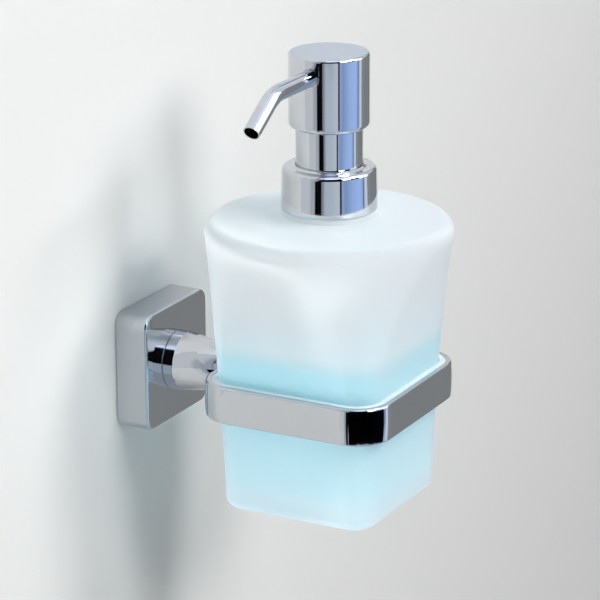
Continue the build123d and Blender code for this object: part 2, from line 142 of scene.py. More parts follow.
def new_material(name, settings):
    """A material with one Principled shader. Returns it, its node tree and that shader."""
    material = bpy.data.materials.new(name)
    material.use_nodes = True
    shader = material.node_tree.nodes["Principled BSDF"]
    for socket, value in settings.items():
        shader.inputs[socket].default_value = value
    return material, material.node_tree, shader


def show(tree, shader_output):
    """Makes this output what the material shows."""
    tree.links.new(shader_output, tree.nodes["Material Output"].inputs["Surface"])


# %% [markdown]
# No real surface is the same all over. Its colour, its polish and its height drift from place to
# place, in patches of a size that comes from how it was made. One helper gives a shader any of
# the three from one noise. The noise reads the piece's own coordinates, so it sticks to the piece
# when a joint moves. It stays mostly between 0.3 and 0.7, so it is stretched for the roughness.

# %% natural variation
NOISE_LOW, NOISE_HIGH = 0.3, 0.7


def vary(tree, shader, patch, detail=2.0, colours=None, roughness=None, depth=None):
    """Varies the colour between two colours, the roughness between two values and the height by
    a depth, whichever are given. Patch is the size of one patch, and depth is a real depth."""
    place = add_node(tree, "TexCoord").outputs["Object"]
    noise = add_node(tree, "TexNoise", {"Vector": place, "Scale": 1 / patch, "Detail": detail})
    if colours:
        tint = add_node(tree, "Mix", {
            "data_type": "RGBA",
            SHARE: noise.outputs["Fac"],
            FIRST_COLOUR: linear(colours[0]),
            SECOND_COLOUR: linear(colours[1]),
        })
        tree.links.new(tint.outputs[MIXED_COLOUR], shader.inputs["Base Color"])
    if roughness:
        polish = add_node(tree, "MapRange", {
            "Value": noise.outputs["Fac"],
            "From Min": NOISE_LOW, "From Max": NOISE_HIGH,
            "To Min": roughness[0], "To Max": roughness[1],
        })
        tree.links.new(polish.outputs["Result"], shader.inputs["Roughness"])
    if depth:
        bump = add_node(tree, "Bump", {"Distance": depth, "Height": noise.outputs["Fac"]})
        tree.links.new(bump.outputs["Normal"], shader.inputs["Normal"])


# %% [markdown]
# ## Chrome
#
# Brass or zinc castings are polished, plated with nickel and flashed with bright chromium. The
# plate is a slightly blue mirror. A perfect mirror would be one number for the roughness, and it
# looks unreal, so the polish varies a little from place to place, the plate's tint drifts, and
# the buffing wheel has left long shallow waves.

# %% chrome
def bright_chrome():
    material, tree, shader = new_material(
        "bright_chrome_plate",
        {"Base Color": linear("#CDD0D4"), "Metallic": 1.0, "Roughness": 0.05},
    )
    vary(tree, shader, patch=14 * MM, detail=4.0, roughness=(0.03, 0.08))
    vary(tree, shader, patch=30 * MM, colours=("#CACDD2", "#D1D3D6"))
    vary(tree, shader, patch=22 * MM, depth=0.02 * MM)
    return material


CHROME = bright_chrome()
print(CHROME.name, "nodes:", len(CHROME.node_tree.nodes))

# %% [markdown]
# ## Stainless steel
#
# The wall plate, the screws, the washer and the spring are rolled or drawn stainless steel, and
# the valve balls are ground from it. It is duller and warmer than chrome. Its marks are hair
# fine, too fine to show, so they are made 0.8 mm wide. One noise drives colour, polish and height
# together, because on the real metal all three come from the same marks.

# %% stainless steel
def stainless_steel():
    material, tree, shader = new_material(
        "drawn_stainless_steel",
        {"Base Color": linear("#B9B6B1"), "Metallic": 1.0, "Roughness": 0.28},
    )
    vary(
        tree, shader, patch=0.8 * MM, detail=3.0,
        colours=("#ADAAA5", "#C4C1BC"), roughness=(0.2, 0.38), depth=0.01 * MM,
    )
    return material


STEEL = stainless_steel()
print(STEEL.name, "nodes:", len(STEEL.node_tree.nodes))

# %% [markdown]
# ## Plastics and rubber
#
# The pump's inner parts are injection moulded polypropylene, which is waxy and lets some light
# in. The ring's liner is a softer, milky grade. The gasket is a soft grey elastomer. All three
# have the faint orange peel of a moulded surface, so one function makes them. The light that
# gets in is subsurface scattering, since a plain diffuse white looks like painted plaster.

# %% moulded plastics
def moulded(name, colours, roughness, glow_depth, grain):
    """A moulded plastic: two close colours, a waxy depth and a fine grain."""
    material, tree, shader = new_material(name, {
        "Roughness": roughness,
        "IOR": 1.49,
        "Subsurface Weight": 0.3,
        "Subsurface Radius": (1.0, 1.0, 1.0),
        "Subsurface Scale": glow_depth,
    })
    vary(tree, shader, patch=9 * MM, colours=colours)
    vary(tree, shader, patch=grain, detail=3.0, depth=0.02 * MM)
    return material


WHITE_PLASTIC = moulded(
    "moulded_polypropylene", ("#EDEEEC", "#F6F7F5"),
    roughness=0.38, glow_depth=2.0 * MM, grain=0.5 * MM,
)
LINER_PLASTIC = moulded(
    "milky_soft_polyethylene", ("#DCE3E6", "#EAF0F2"),
    roughness=0.45, glow_depth=2.5 * MM, grain=0.6 * MM,
)
RUBBER = moulded(
    "grey_elastomer", ("#A9ACAD", "#B6B9BA"),
    roughness=0.6, glow_depth=0.5 * MM, grain=0.4 * MM,
)
print("plastics:", [material.name for material in (WHITE_PLASTIC, LINER_PLASTIC, RUBBER)])

# %% [markdown]
# ## Frosted glass
#
# The bottle is pressed from clear glass and acid etched outside. Etching leaves pits far smaller
# than a hair. They scatter light both ways, so the outside glows softly, and the soap behind it
# shows as a stain of colour with a blurred edge. Rough glass alone could do this, but only with
# far more light paths than a render has time for. So the stain is worked out from the height:
# full beside the soap, gone a little above its surface, and weaker towards the thick floor. A
# slow noise ripples that edge a little.

# %% where the soap stains the glass
soap_low, soap_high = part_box("soap")
BLUR = 7 * MM
RIPPLE = 1.5 * MM
STAIN_SLOPES = (
    ("SMOOTHSTEP", (soap_high.z - 0.4 * BLUR, soap_high.z + 0.8 * BLUR), (1.0, 0.0)),
    ("SMOOTHSTEP", (soap_low.z - 12 * MM, soap_low.z + 16 * MM), (0.0, 1.0)),
    ("LINEAR", (soap_low.z + 20 * MM, soap_low.z + 40 * MM), (0.5, 1.0)),
)
print("soap from", round(soap_low.z / MM, 1), "to", round(soap_high.z / MM, 1), "mm")


def soap_stain(tree, place, height):
    """How strongly the soap shows through: the product of the slopes over the rippled height."""
    wave = add_node(tree, "TexNoise", {"Vector": place, "Scale": 1 / (30 * MM)})
    ripple = add_node(
        tree, "MapRange", {"Value": wave.outputs["Fac"], "To Min": -RIPPLE, "To Max": RIPPLE}
    )
    rippled = add_node(tree, "Math", {"operation": "ADD", 0: height, 1: ripple.outputs["Result"]})
    stain = 1.0
    for interpolation, (start, end), (at_start, at_end) in STAIN_SLOPES:
        slope = add_node(tree, "MapRange", {
            "interpolation_type": interpolation,
            "Value": rippled.outputs["Value"],
            "From Min": start, "From Max": end,
            "To Min": at_start, "To Max": at_end,
        })
        product = add_node(
            tree, "Math", {"operation": "MULTIPLY", 0: stain, 1: slope.outputs["Result"]}
        )
        stain = product.outputs["Value"]
    return stain


# %% [markdown]
# A path of light that goes through rough glass never finds a lamp by itself, so the bottle would
# be dark inside and its shadow black. The lamps' own rays are therefore let through, dimmed.
# A ray from the wall to a lamp enters the bottle and is dimmed much, which keeps the bottle's
# shadow. A ray that starts inside only leaves it and is dimmed little, so the inside stays bright.

# %% light through glass
def let_lamps_in(tree, body, entering, leaving):
    """Shows this shader, but lets the lamps' rays pass with one tint on entering and another on
    leaving."""
    path = add_node(tree, "LightPath")
    side = add_node(tree, "NewGeometry")
    tint = add_node(tree, "Mix", {
        "data_type": "RGBA",
        SHARE: side.outputs["Backfacing"],
        FIRST_COLOUR: linear(entering),
        SECOND_COLOUR: linear(leaving),
    })
    clear = add_node(tree, "BsdfTransparent", {"Color": tint.outputs[MIXED_COLOUR]})
    either = add_node(tree, "MixShader", {
        SHARE: path.outputs["Is Shadow Ray"],
        FIRST_SHADER: body,
        SECOND_SHADER: clear.outputs["BSDF"],
    })
    show(tree, either.outputs["Shader"])


# %% [markdown]
# The etched skin is three things at once: a matt white that throws light back, the same white
# letting light on, and rough glass that blurs what stands behind. The first two make the haze,
# which takes the soap's colour where the soap wets the inside, as scattered light does. Towards
# the outline the way through the glass is longer, so the stain fades there. The shoulder is
# thicker, so it is hazier. A faint wide gloss lies over all. The real pits are too fine to show,
# so they are drawn 0.5 mm wide.

# %% frosted glass
GLASS_TOP_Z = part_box("bottle")[1].z
SHOULDER_Z = GLASS_TOP_Z - 13.7 * MM
HAZE_OF_WALL, HAZE_OF_SHOULDER = 0.75, 0.92
LET_ON_SHARE = 0.6
STAIN_AT_OUTLINE = 0.25


def etched_glass():
    material, tree, shader = new_material("acid_etched_glass", {
        "Base Color": linear("#F7FAFB"),
        "Roughness": 0.5,
        "IOR": 1.5,
        "Transmission Weight": 1.0,
    })
    vary(tree, shader, patch=0.5 * MM, detail=4.0, depth=0.015 * MM)
    place = add_node(tree, "TexCoord").outputs["Object"]
    height = add_node(tree, "SeparateXYZ", {"Vector": place}).outputs["Z"]
    edge = add_node(tree, "LayerWeight", {"Blend": 0.35})
    fade = add_node(tree, "MapRange", {
        "Value": edge.outputs["Facing"],
        "To Min": 1.0, "To Max": STAIN_AT_OUTLINE,
    })
    stain = add_node(tree, "Math", {
        "operation": "MULTIPLY",
        0: soap_stain(tree, place, height),
        1: fade.outputs["Result"],
    })
    colour = add_node(tree, "Mix", {
        "data_type": "RGBA",
        SHARE: stain.outputs["Value"],
        FIRST_COLOUR: linear("#F7F6F8"),
        SECOND_COLOUR: linear("#CFE7EE"),
    }).outputs[MIXED_COLOUR]
    thrown_back = add_node(tree, "BsdfDiffuse", {"Roughness": 0.6, "Color": colour})
    let_on = add_node(tree, "BsdfTranslucent", {"Color": colour})
    haze = add_node(tree, "MixShader", {
        SHARE: LET_ON_SHARE,
        FIRST_SHADER: thrown_back.outputs["BSDF"],
        SECOND_SHADER: let_on.outputs["BSDF"],
    })
    haziness = add_node(tree, "MapRange", {
        "interpolation_type": "SMOOTHSTEP",
        "Value": height,
        "From Min": SHOULDER_Z - 14 * MM, "From Max": SHOULDER_Z - 2 * MM,
        "To Min": HAZE_OF_WALL, "To Max": HAZE_OF_SHOULDER,
    })
    body = add_node(tree, "MixShader", {
        SHARE: haziness.outputs["Result"],
        FIRST_SHADER: shader.outputs["BSDF"],
        SECOND_SHADER: haze.outputs["Shader"],
    })
    gloss = add_node(tree, "BsdfGlossy", {"Roughness": 0.45, "Color": linear("#FFFFFF")})
    coated = add_node(tree, "MixShader", {
        SHARE: add_node(tree, "Fresnel", {"IOR": 1.22}).outputs["Fac"],
        FIRST_SHADER: body.outputs["Shader"],
        SECOND_SHADER: gloss.outputs["BSDF"],
    })
    let_lamps_in(tree, coated.outputs["Shader"], entering="#3E4041", leaving="#F2F5F6")
    return material


ETCHED_GLASS = etched_glass()
print(ETCHED_GLASS.name, "nodes:", len(ETCHED_GLASS.node_tree.nodes))

# %% [markdown]
# The inside of the bottle is left smooth. Its light is already bent and scattered at the etched
# skin, so the inside is simply clear and shines a little, with faint smears from the soap.

# %% clear glass
def clear_glass():
    material, tree, shader = new_material("clear_glass_inside", {})
    place = add_node(tree, "TexCoord").outputs["Object"]
    smears = add_node(tree, "TexNoise", {"Vector": place, "Scale": 1 / (12 * MM)})
    polish = add_node(tree, "MapRange", {
        "Value": smears.outputs["Fac"],
        "From Min": NOISE_LOW, "From Max": NOISE_HIGH,
        "To Min": 0.05, "To Max": 0.2,
    })
    clear = add_node(tree, "BsdfTransparent", {"Color": linear("#FAFDFD")})
    gloss = add_node(tree, "BsdfGlossy", {"Roughness": polish.outputs["Result"]})
    body = add_node(tree, "MixShader", {
        SHARE: add_node(tree, "Fresnel", {"IOR": 1.15}).outputs["Fac"],
        FIRST_SHADER: clear.outputs["BSDF"],
        SECOND_SHADER: gloss.outputs["BSDF"],
    })
    show(tree, body.outputs["Shader"])
    tree.nodes.remove(shader)
    return material


CLEAR_GLASS = clear_glass()
print(CLEAR_GLASS.name, "nodes:", len(CLEAR_GLASS.node_tree.nodes))

# %% [markdown]
# ## Soap
#
# A clear cyan hand soap. Behind etched glass it is seen as a soft glow of colour, not as a clear
# liquid. A clear liquid with absorption would need many light paths to look the same, so more
# than half of it is a body that lets its colour through to the other side.

# %% soap
GLOW_SHARE = 0.6


def cyan_soap():
    material, tree, shader = new_material(
        "cyan_hand_soap",
        {"Roughness": 0.15, "IOR": 1.35, "Transmission Weight": 0.3},
    )
    vary(tree, shader, patch=25 * MM, colours=("#CFF1F7", "#DAF4F9"))
    tint = shader.inputs["Base Color"].links[0].from_socket
    glow = add_node(tree, "BsdfTranslucent", {"Color": tint})
    body = add_node(tree, "MixShader", {
        SHARE: GLOW_SHARE,
        FIRST_SHADER: shader.outputs["BSDF"],
        SECOND_SHADER: glow.outputs["BSDF"],
    })
    let_lamps_in(tree, body.outputs["Shader"], entering="#B4BCC0", leaving="#E4F2F6")
    return material


SOAP = cyan_soap()
print(SOAP.name, "nodes:", len(SOAP.node_tree.nodes))

# %% [markdown]
# ## Finishes on the engineering model's pieces
#
# Most pieces keep the engineering model's own mesh, which has its real roundings, and only get
# a better finish.

# %% dress the pieces
FINISHES = (
    (CHROME, ("rosette", "arm", "ring", "collar", "sleeve", "head", "spout")),
    (STEEL, ("wall_plate", "grub_screw", "arm_washer", "arm_screw", "ring_screw",
             "return_spring", "inlet_ball", "outlet_ball")),
    (LINER_PLASTIC, ("ring_liner",)),
    (ETCHED_GLASS, ("bottle",)),
    (SOAP, ("soap",)),
    (WHITE_PLASTIC, ("closure_insert", "housing", "dip_tube", "retainer",
                     "piston", "stem", "head_insert")),
    (RUBBER, ("neck_gasket",)),
)
dressed = []
for finish, nodes in FINISHES:
    for node in nodes:
        for material_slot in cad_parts[node].material_slots:
            material_slot.material = finish
        dressed.append(node)
print("pieces dressed:", len(dressed), "left plain:", sorted(set(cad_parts) - set(dressed)))

# %% [markdown]
# ## Copies of the engineering model's pieces
#
# Some pieces have the right form but want a detail that the engineering model leaves out. They
# could be modelled again from nothing, but the safest start is a copy: its loose triangles are
# joined into one skin, and its shading is made anew, with every edge sharper than a given angle
# kept crisp.

# %% a copy with its own mesh
JOIN_DISTANCE = 0.0005 * MM


def copy_of(node, name, crisp_degrees):
    """A copy of an engineering model's piece with its own joined mesh, ready for edit mode."""
    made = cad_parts[node].copy()
    made.data = made.data.copy()
    made.name = name
    made.data.name = name
    for key in [key for key in made.keys() if key.startswith("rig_")]:
        del made[key]
    made.parent = None
    bpy.context.scene.collection.objects.link(made)
    made.hide_render = False
    deselect()
    made.select_set(True)
    bpy.context.view_layer.objects.active = made
    bpy.ops.mesh.customdata_custom_splitnormals_clear()
    bpy.ops.object.mode_set(mode="EDIT")
    bpy.ops.mesh.select_all(action="SELECT")
    bpy.ops.mesh.remove_doubles(threshold=JOIN_DISTANCE)
    bpy.ops.mesh.select_all(action="DESELECT")
    bpy.ops.object.mode_set(mode="OBJECT")
    bpy.ops.object.shade_smooth_by_angle(angle=math.radians(crisp_degrees))
    return made


def finish_with(piece, *materials):
    """Gives the piece these materials and no others."""
    piece.data.materials.clear()
    for material in materials:
        piece.data.materials.append(material)


def hand_over(piece, node, body):
    """Lets the piece stand for a node, whose piece is hidden, and hangs it on a body."""
    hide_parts(node)
    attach(piece, body)
    print(piece.name, "faces:", len(piece.data.polygons))


# %% [markdown]
# ## The bottle
#
# The real bottle has two surfaces of different finish: etched outside and smooth inside. Two
# nested shells could carry them, but a bottle is one skin, so the copy gets both finishes, and
# the faces of its inside are told apart by where they are and where they face. A side of the
# cavity looks at the pump's axis, its roof looks down, and its floor looks up.

# %% bottle
BOTTOM_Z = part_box("bottle")[0].z + 5 * MM
ARM_Z = 0.0
ROOF_Z = SHOULDER_Z - 6 * MM
CAVITY_RADIUS = 41.2 * MM
LOOKS_UP, LOOKS_DOWN = 0.5, -0.3
TOLERANCE = 0.05 * MM


def faces_inside(face):
    """True for a face of the cavity. The bottle's bottom and its slanted outer sides look down
    too, so a roof also has to be high up and near the axis."""
    outward = Vector((face.center.x - PUMP_X, face.center.y - PUMP_Y, 0))
    is_side = outward.dot(face.normal) < -TOLERANCE
    under_shoulder = face.center.z > ROOF_Z and outward.length < CAVITY_RADIUS
    is_roof = face.normal.z < LOOKS_DOWN and under_shoulder
    is_floor = face.normal.z > LOOKS_UP and face.center.z < ARM_Z
    return face.center.z > BOTTOM_Z and (is_side or is_roof or is_floor)


glass = copy_of("bottle", "bottle_glass", crisp_degrees=35)
finish_with(glass, ETCHED_GLASS, CLEAR_GLASS)
for face in glass.data.polygons:
    face.material_index = 1 if faces_inside(face) else 0
print("clear faces:", sum(face.material_index for face in glass.data.polygons))
hand_over(glass, "bottle", "bottle")

# %% [markdown]
# ## The neck's thread
#
# The cap screws on a coarse rounded thread that is pressed with the glass neck. It could be
# joined to the neck with a boolean, but a thread that is only laid on keeps the neck's clean
# skin. A small flattened circle is drawn beside the neck and swept up and round by a Screw
# modifier. It is sunk into the neck a little, so that no gap shows. The neck's radius comes from
# the gasket on its rim, which is just as wide.

# %% neck thread
NECK_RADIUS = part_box("neck_gasket")[1].x
THREAD_HEIGHT = 0.36 * MM
THREAD_SUNK = 0.25 * MM
THREAD_PROFILE_RADIUS = 0.9 * MM
THREAD_START_Z = GLASS_TOP_Z - 7.4 * MM
PROFILE_CORNERS = 12
ROUND_EDGE = math.radians(50)
UPRIGHT = (math.radians(90), 0, 0)


def swept_coil(name, radius, profile_radius, flatten, start_z, pitch, turns, steps_per_turn):
    """A closed coil round the pump's axis, from a small circle that a Screw modifier sweeps. The
    circle is flattened towards the axis by a share."""
    deselect()
    bpy.ops.mesh.primitive_circle_add(
        vertices=PROFILE_CORNERS, radius=profile_radius, location=(radius, 0, 0), rotation=UPRIGHT
    )
    made = bpy.context.object
    made.name = name
    made.data.name = name
    bpy.ops.object.transform_apply(location=True, rotation=True, scale=True)
    bpy.ops.object.mode_set(mode="EDIT")
    bpy.ops.mesh.select_all(action="SELECT")
    bpy.ops.transform.resize(value=(flatten, 1, 1), center_override=(radius, 0, 0))
    bpy.ops.object.mode_set(mode="OBJECT")
    screw = made.modifiers.new("sweep", "SCREW")
    screw.angle = math.radians(360 * turns)
    screw.screw_offset = pitch * turns
    screw.steps = round(steps_per_turn * turns)
    screw.render_steps = screw.steps
    screw.use_merge_vertices = False
    bpy.ops.object.modifier_apply(modifier="sweep")
    bpy.ops.object.mode_set(mode="EDIT")
    bpy.ops.mesh.select_all(action="DESELECT")
    bpy.ops.mesh.select_non_manifold()
    bpy.ops.mesh.fill()
    bpy.ops.mesh.select_all(action="SELECT")
    bpy.ops.mesh.normals_make_consistent(inside=False)
    bpy.ops.mesh.select_all(action="DESELECT")
    bpy.ops.object.mode_set(mode="OBJECT")
    made.location = (PUMP_X, PUMP_Y, start_z)
    bpy.ops.object.transform_apply(location=True, rotation=True, scale=True)
    bpy.ops.object.shade_smooth_by_angle(angle=ROUND_EDGE)
    return made


thread = swept_coil(
    "neck_thread",
    radius=NECK_RADIUS - THREAD_SUNK,
    profile_radius=THREAD_PROFILE_RADIUS,
    flatten=(THREAD_HEIGHT + THREAD_SUNK) / THREAD_PROFILE_RADIUS,
    start_z=THREAD_START_Z,
    pitch=3.2 * MM,
    turns=1.6,
    steps_per_turn=72,
)
finish_with(thread, ETCHED_GLASS)
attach(thread, "bottle")
print("neck thread faces:", len(thread.data.polygons))

# %% [markdown]
# ## The soap's surface
#
# A liquid creeps up the glass and up the dip tube a little. The top face is inset twice, which
# makes two narrow rings along its edges, and what is left in the middle is lowered. The edges
# stay at the height of the engineering model, so nothing grows.

# %% soap's surface
EDGE_WIDTH = 0.9 * MM
SLOPE_WIDTH = 1.6 * MM
SAG = 0.35 * MM
FLAT = 0.95

liquid = copy_of("soap", "soap_body", crisp_degrees=50)
for face in liquid.data.polygons:
    is_flat = face.normal.z > FLAT
    face.select = is_flat and abs(face.center.z - soap_high.z) < TOLERANCE
open_area = sum(face.area for face in liquid.data.polygons if face.select)
print("soap's open surface, cm2:", round(open_area * 1e4, 1))
bpy.ops.object.mode_set(mode="EDIT")
bpy.ops.mesh.select_mode(type="FACE")
bpy.ops.mesh.inset(thickness=EDGE_WIDTH, depth=0, use_boundary=True)
bpy.ops.mesh.inset(thickness=SLOPE_WIDTH, depth=0, use_boundary=True)
bpy.ops.transform.translate(value=(0, 0, -SAG))
bpy.ops.mesh.select_all(action="DESELECT")
bpy.ops.object.mode_set(mode="OBJECT")
bpy.ops.object.shade_smooth_by_angle(angle=ROUND_EDGE)
hand_over(liquid, "soap", "bottle")

# %% [markdown]
# ## The arm
#
# The arm is turned on a lathe from brass bar: a short cylinder, then a slightly swelling taper.
# A copy would keep the engineering model's long thin triangles, which bend reflections, so it is
# turned here as well. Half its outline is drawn beside its axis, point by point, and spun once
# round. The edge of its foot is broken by a small chamfer. The rosette is a mirror there, so the
# chamfer shows as a fine dark line between the arm and its own reflection. The screw holes and
# the recess for the ring's key are in the outline as well.

# %% arm
arm_low, arm_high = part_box("arm")
FOOT_RADIUS = arm_high.x
FOOT_Y = arm_high.y
TAPER_Y = FOOT_Y - 4.2 * MM
NOSE_RADIUS = 6.0 * MM
NOSE_Y = arm_low.y
CHAMFER = 0.3 * MM
SWELL = 0.35 * MM
TAPER_POINTS = 14
FOOT_HOLE, FOOT_HOLE_DEPTH, FOOT_HOLE_TIP = 2.5 * MM, 11 * MM, 1.5 * MM
NOSE_HOLE, NOSE_HOLE_DEPTH, NOSE_HOLE_TIP = 2.0 * MM, 10 * MM, 1.0 * MM
KEY_RECESS, KEY_RECESS_DEPTH = 4.6 * MM, 1.8 * MM


def taper_point(share):
    """A point of the swelling taper: its radius and its place along the arm."""
    radius = FOOT_RADIUS + share * (NOSE_RADIUS - FOOT_RADIUS) + 4 * SWELL * share * (1 - share)
    return radius, TAPER_Y + share * (NOSE_Y - TAPER_Y)


def turned(name, outline, steps, crisp_degrees):
    """Turns an outline about the arm's axis. Its points are (radius, place along the axis)."""
    deselect()
    bpy.ops.mesh.primitive_plane_add(size=1 * MM, location=(0, 0, 0))
    made = bpy.context.object
    made.name = name
    made.data.name = name
    bpy.ops.object.mode_set(mode="EDIT")
    bpy.ops.mesh.select_mode(type="VERT")
    bpy.ops.mesh.select_all(action="SELECT")
    bpy.ops.mesh.merge(type="CENTER")
    bpy.ops.transform.translate(value=(0, outline[0][1], outline[0][0]))
    for (radius, place), (next_radius, next_place) in zip(outline, outline[1:]):
        step = (0, next_place - place, next_radius - radius)
        bpy.ops.mesh.extrude_region_move(TRANSFORM_OT_translate={"value": step})
    bpy.ops.mesh.select_all(action="SELECT")
    bpy.ops.mesh.spin(steps=steps, angle=math.tau, center=(0, 0, 0), axis=(0, 1, 0))
    bpy.ops.mesh.select_all(action="SELECT")
    bpy.ops.mesh.remove_doubles(threshold=JOIN_DISTANCE)
    bpy.ops.mesh.normals_make_consistent(inside=False)
    bpy.ops.mesh.select_all(action="DESELECT")
    bpy.ops.object.mode_set(mode="OBJECT")
    bpy.ops.object.shade_smooth_by_angle(angle=math.radians(crisp_degrees))
    return made


foot_hole = [
    (0, FOOT_Y - FOOT_HOLE_DEPTH - FOOT_HOLE_TIP),
    (FOOT_HOLE, FOOT_Y - FOOT_HOLE_DEPTH),
    (FOOT_HOLE, FOOT_Y),
]
foot_edge = [(FOOT_RADIUS - CHAMFER, FOOT_Y), (FOOT_RADIUS, FOOT_Y - CHAMFER)]
taper = [taper_point(step / TAPER_POINTS) for step in range(TAPER_POINTS + 1)]
nose_hole = [
    (KEY_RECESS, NOSE_Y),
    (KEY_RECESS, NOSE_Y + KEY_RECESS_DEPTH),
    (NOSE_HOLE, NOSE_Y + KEY_RECESS_DEPTH),
    (NOSE_HOLE, NOSE_Y + NOSE_HOLE_DEPTH),
    (0, NOSE_Y + NOSE_HOLE_DEPTH + NOSE_HOLE_TIP),
]
arm = turned("turned_arm", foot_hole + foot_edge + taper + nose_hole, steps=112, crisp_degrees=6)
finish_with(arm, CHROME)
print("arm, mm:", [round(side / MM, 2) for side in arm.dimensions])
hand_over(arm, "arm", "wall")

# %% [markdown]
# ## The return spring
#
# The spring is coiled from round stainless wire. The engineering model's wire has six sides, so
# the same sweep as the thread's makes a round one, with more turns and no flattening. It keeps
# inside the model's spring, so its wire is a little thinner.

# %% spring
spring_low, spring_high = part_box("return_spring")
SPRING_RADIUS = 4.6 * MM
WIRE_RADIUS = 0.49 * MM
MODEL_WIRE_RADIUS = 0.5 * MM
SPRING_TURNS = 6.5

spring_height = spring_high.z - spring_low.z - 2 * MODEL_WIRE_RADIUS
spring = swept_coil(
    "round_wire_spring",
    radius=SPRING_RADIUS,
    profile_radius=WIRE_RADIUS,
    flatten=1.0,
    start_z=spring_low.z + MODEL_WIRE_RADIUS,
    pitch=spring_height / SPRING_TURNS,
    turns=SPRING_TURNS,
    steps_per_turn=48,
)
finish_with(spring, STEEL)
hand_over(spring, "return_spring", "pump")

# %% [markdown]
# ## Studio
#
# The wall is pale plaster and the floor a pale sheet far below. The wall's own back lets the
# camera through, so the dispenser can also be looked at from behind. It also lets through what
# starts right at it, so that the wall plate's polished back shows the room and not the wall.

# %% wall and floor
ROOM_WIDTH = 12
WALL_HEIGHT = 6
FLOOR_Z = -0.9
WALL_GAP = 0.5 * MM
RIGHT_AT_WALL = 1.2 * MM


def open_from_behind(tree, shader):
    """Makes a plane clear from its back, and for what starts right at it."""
    side = add_node(tree, "NewGeometry")
    path = add_node(tree, "LightPath")
    near = add_node(
        tree, "Math", {"operation": "LESS_THAN", 0: path.outputs["Ray Length"], 1: RIGHT_AT_WALL}
    )
    is_open = add_node(tree, "Math", {
        "operation": "MAXIMUM",
        0: side.outputs["Backfacing"],
        1: near.outputs["Value"],
    })
    both = add_node(tree, "MixShader", {
        SHARE: is_open.outputs["Value"],
        FIRST_SHADER: shader.outputs["BSDF"],
        SECOND_SHADER: add_node(tree, "BsdfTransparent").outputs["BSDF"],
    })
    show(tree, both.outputs["Shader"])


def matt_sheet(name, colours, open_behind):
    material, tree, shader = new_material(name, {"Roughness": 0.9, "Specular IOR Level": 0.1})
    vary(tree, shader, patch=160 * MM, colours=colours)
    if open_behind:
        open_from_behind(tree, shader)
    return material


def studio_plane(name, size, location, rotation, material):
    """A flat plane that is part of the studio and not of the dispenser."""
    bpy.ops.mesh.primitive_plane_add(size=1, location=location, rotation=rotation)
    plane = bpy.context.object
    plane.name = name
    plane.scale = (size[0], size[1], 1)
    plane.data.materials.append(material)
    return plane


studio_plane(
    "wall", (ROOM_WIDTH, WALL_HEIGHT),
    (PUMP_X, WALL_Y + WALL_GAP, FLOOR_Z + WALL_HEIGHT / 2), UPRIGHT,
    matt_sheet("pale_wall_plaster", ("#E5E6E5", "#E9EAE9"), open_behind=True),
)
floor = studio_plane(
    "floor", (ROOM_WIDTH, ROOM_WIDTH),
    (PUMP_X, WALL_Y, FLOOR_Z), (0, 0, 0),
    matt_sheet("pale_floor_sheet", ("#E0E0DE", "#E4E4E2"), open_behind=False),
)
floor.visible_glossy = False
print("wall, m:", ROOM_WIDTH, "by", WALL_HEIGHT, "floor at, m:", FLOOR_Z)

# %% [markdown]
# ## Light
#
# Two soft lamps stand in front, one a little to the right and higher, one to the left and lower.
# Their shadows overlap on the wall as two soft bands. A third one stands low beside the wall, so
# that it lights the bottle's side but hardly the wall. Chrome would show it as a bright square,
# so it is kept out of reflections.

# %% lamps
LIT_POINT = Vector((PUMP_X, PUMP_Y, 10 * MM))


def soft_lamp(name, azimuth, elevation, distance, size, power):
    """A square lamp that looks at the bottle. The azimuth is counted from +X towards +Y."""
    around, up = math.radians(azimuth), math.radians(elevation)
    away = Vector((math.cos(around) * math.cos(up), math.sin(around) * math.cos(up), math.sin(up)))
    bpy.ops.object.light_add(type="AREA", location=LIT_POINT + away * distance)
    lamp = bpy.context.object
    lamp.name = name
    lamp.data.shape = "SQUARE"
    lamp.data.size = size
    lamp.data.energy = power
    lamp.rotation_euler = (-away).to_track_quat("-Z", "Y").to_euler()
    print(name, "at, m:", [round(c, 2) for c in lamp.location])
    return lamp


soft_lamp("key_lamp", azimuth=281, elevation=44, distance=1.3, size=0.35, power=9.0)
soft_lamp("second_lamp", azimuth=252, elevation=31, distance=1.3, size=0.4, power=7.7)
low_lamp = soft_lamp("low_lamp", azimuth=182, elevation=-28, distance=1.0, size=0.3, power=6.6)
low_lamp.visible_glossy = False

# %% [markdown]
# The room's own light is weak, which keeps the shadows deep. Chrome shows only what stands around
# it, so it sees another room: a dark one in front, with a bright ceiling, a pale floor, and grey
# behind the wall, which keeps the back of the part readable when it is turned round. Each of them
# is laid over the ones before it. It begins at one place along an axis of the view's direction
# and is full at another.

# %% room
ROOM_LIGHT = 0.165
DARK_FRONT = linear("#0A0D13")
BRIGHT_CEILING = [1.0, 1.12, 1.4, 1.0]
GREY_BEHIND = linear("#9DA3AC")
PALE_FLOOR = linear("#B4BCC8")
ROOM_PARTS = (
    ("Z", 0.66, 0.80, BRIGHT_CEILING),
    ("Y", 0.02, 0.50, GREY_BEHIND),
    ("Z", -0.30, -0.40, PALE_FLOOR),
)


